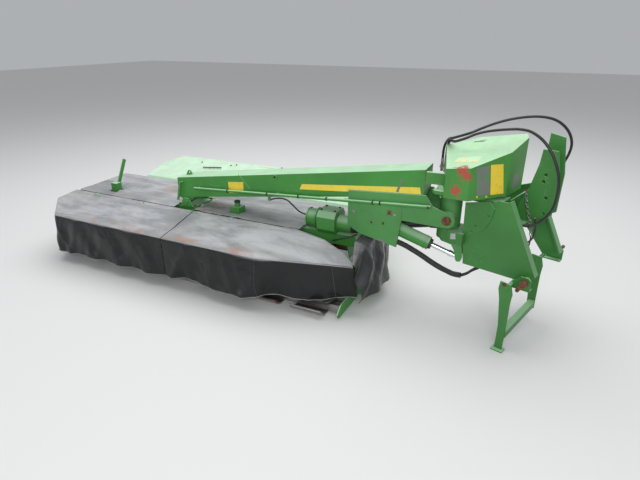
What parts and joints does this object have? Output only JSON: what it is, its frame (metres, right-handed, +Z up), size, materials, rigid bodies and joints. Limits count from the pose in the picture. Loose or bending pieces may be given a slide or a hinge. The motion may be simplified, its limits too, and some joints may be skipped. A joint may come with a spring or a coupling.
{
  "type": "folded disc mower",
  "caption": "Mounted disc mower-conditioner with a centre boom, folded to the rear and parked on its stand and wear shoes.",
  "frame": {"origin": "centre of the bounding box, on the ground", "axes": "+X along the boom towards the hitch, +Y from the front curtains to the swath outlet, +Z up"},
  "size_m": [4.9076, 1.763, 1.6584],
  "materials": {
    "green_paint": "weathered gloss",
    "worn_steel": "worn",
    "rusty_steel": "rusty",
    "rod_chrome": "polished",
    "black_plastic": "dusty",
    "black_rubber": "matte",
    "tarpaulin": "coated cloth, dusty"
  },
  "bodies": {
    "headstock": {"headstock_frame": "green_paint", "top_link_plates": "green_paint", "hitch_pins": "rusty_steel", "input_gearbox": "green_paint", "outer_hose": "black_rubber", "inner_hose": "black_rubber", "hose_coupler": "worn_steel", "sleeve_end": "black_rubber", "sleeve_tails": "black_rubber", "looped_hose": "black_rubber"},
    "stand": {"parking_stand": "green_paint"},
    "pto_shaft": {"input_shaft": "worn_steel"},
    "swing_frame": {"swing_hub": "green_paint", "drive_guard": "green_paint", "hose_fittings": "worn_steel", "rising_hoses": "black_rubber", "sleeve_middle": "black_rubber"},
    "boom": {"boom_beam": "green_paint", "boom_fork": "green_paint", "boom_hanger": "green_paint", "support_rail": "green_paint", "hose_sleeve": "black_rubber", "breather_hose": "black_rubber"},
    "cylinder_barrel": {"lift_barrel": "green_paint"},
    "cylinder_rod": {"lift_rod": "rod_chrome"},
    "shaft_outer": {"shaft_tube": "black_plastic"},
    "shaft_inner": {"shaft_slider": "worn_steel"},
    "mower_unit": {"cutter_bar": "worn_steel", "wear_shoes": "worn_steel", "main_beam": "green_paint", "outboard_end_frame": "green_paint", "inboard_end_frame": "green_paint", "conditioner_hood": "green_paint", "swath_boards": "green_paint", "unit_gearbox": "green_paint", "drive_cone": "black_plastic", "beam_saddle": "green_paint", "tilt_stop": "green_paint", "setting_lever": "green_paint", "guard_hinges": "green_paint", "top_tarp": "tarpaulin", "end_curtains": "tarpaulin"},
    "rotor": {"conditioner_rotor": "rusty_steel", "upright_tines": "rusty_steel", "level_tines": "rusty_steel"},
    "outboard_guard": {"outboard_guard_frame": "green_paint", "outboard_guard_tarp": "tarpaulin"},
    "inboard_guard": {"inboard_guard_frame": "green_paint", "inboard_guard_tarp": "tarpaulin"},
    "disc_1": {"disc_1": "worn_steel"},
    "disc_2": {"disc_2": "worn_steel"},
    "disc_3": {"disc_3": "worn_steel"},
    "disc_4": {"disc_4": "worn_steel"},
    "disc_5": {"disc_5": "worn_steel"},
    "disc_6": {"disc_6": "worn_steel"},
    "disc_7": {"disc_7": "worn_steel"}
  },
  "joints": [
    {"name": "boom_swing", "type": "hinge", "parent": "headstock", "child": "swing_frame", "pos_m": [1.5725, -0.177, 0.9], "axis": [0, 0, 1], "range_deg": [-16, 74]},
    {"name": "boom_lift", "type": "hinge", "parent": "swing_frame", "child": "boom", "pos_m": [1.5725, -0.177, 0.866], "axis": [0, 1, 0], "range_deg": [-8, 11]},
    {"name": "barrel_pivot", "type": "hinge", "parent": "boom", "child": "cylinder_barrel", "pos_m": [0.9845, -0.235, 0.766], "axis": [0, 1, 0], "range_deg": [-5, 4]},
    {"name": "rod_slide", "type": "slide", "parent": "cylinder_barrel", "child": "cylinder_rod", "axis": [0.9551, 0, -0.2962], "range_m": [-0.045, 0.065]},
    {"name": "unit_tilt", "type": "hinge", "parent": "boom", "child": "mower_unit", "pos_m": [-0.9825, -0.177, 0.652], "axis": [0, 1, 0], "range_deg": [-1, 6]},
    {"name": "shaft_sway", "type": "hinge", "parent": "boom", "child": "shaft_outer", "pos_m": [1.4635, -0.057, 0.745], "axis": [0, 1, 0], "range_deg": [-18, 6]},
    {"name": "shaft_slide", "type": "slide", "parent": "shaft_outer", "child": "shaft_inner", "axis": [-0.9649, -0.2324, -0.1221], "range_m": [-0.03, 0.06]},
    {"name": "rotor_turn", "type": "hinge", "parent": "mower_unit", "child": "rotor", "pos_m": [-0.7225, 0.075, 0.345], "axis": [1, 0, 0], "continuous": true},
    {"name": "outboard_guard_fold", "type": "hinge", "parent": "mower_unit", "child": "outboard_guard", "pos_m": [-1.5325, -0.397, 0.588], "axis": [-1, 0, 0], "range_deg": [0, 80]},
    {"name": "inboard_guard_fold", "type": "hinge", "parent": "mower_unit", "child": "inboard_guard", "pos_m": [-0.3925, -0.397, 0.588], "axis": [-1, 0, 0], "range_deg": [0, 80]},
    {"name": "stand_fold", "type": "hinge", "parent": "headstock", "child": "stand", "pos_m": [2.17785, -0.22436, 0.515], "axis": [0.2807, 0.9598, 0], "range_deg": [0, 75]},
    {"name": "pto_turn", "type": "hinge", "parent": "headstock", "child": "pto_shaft", "pos_m": [1.98244, -0.0375, 0.745], "axis": [0.9598, -0.2807, 0], "continuous": true},
    {"name": "disc_1_turn", "type": "hinge", "parent": "mower_unit", "child": "disc_1", "pos_m": [-2.0125, -0.527, 0.09], "axis": [0, 0, 1], "continuous": true},
    {"name": "disc_2_turn", "type": "hinge", "parent": "mower_unit", "child": "disc_2", "pos_m": [-1.5825, -0.527, 0.09], "axis": [0, 0, 1], "continuous": true},
    {"name": "disc_3_turn", "type": "hinge", "parent": "mower_unit", "child": "disc_3", "pos_m": [-1.1525, -0.527, 0.09], "axis": [0, 0, 1], "continuous": true},
    {"name": "disc_4_turn", "type": "hinge", "parent": "mower_unit", "child": "disc_4", "pos_m": [-0.7225, -0.527, 0.09], "axis": [0, 0, 1], "continuous": true},
    {"name": "disc_5_turn", "type": "hinge", "parent": "mower_unit", "child": "disc_5", "pos_m": [-0.2925, -0.527, 0.09], "axis": [0, 0, 1], "continuous": true},
    {"name": "disc_6_turn", "type": "hinge", "parent": "mower_unit", "child": "disc_6", "pos_m": [0.1375, -0.527, 0.09], "axis": [0, 0, 1], "continuous": true},
    {"name": "disc_7_turn", "type": "hinge", "parent": "mower_unit", "child": "disc_7", "pos_m": [0.5675, -0.527, 0.09], "axis": [0, 0, 1], "continuous": true}
  ],
  "couplings": [
    {"joint": "barrel_pivot", "follows": "boom_lift", "ratio": -0.2824},
    {"joint": "rod_slide", "follows": "boom_lift", "m_per_rad": 0.2638},
    {"joint": "shaft_sway", "follows": "unit_tilt", "ratio": -2.5},
    {"joint": "shaft_slide", "follows": "unit_tilt", "m_per_rad": 0.5},
    {"joint": "disc_2_turn", "follows": "disc_1_turn", "ratio": -1},
    {"joint": "disc_3_turn", "follows": "disc_1_turn", "ratio": 1},
    {"joint": "disc_4_turn", "follows": "disc_1_turn", "ratio": -1},
    {"joint": "disc_5_turn", "follows": "disc_1_turn", "ratio": 1},
    {"joint": "disc_6_turn", "follows": "disc_1_turn", "ratio": -1},
    {"joint": "disc_7_turn", "follows": "disc_1_turn", "ratio": 1}
  ]
}
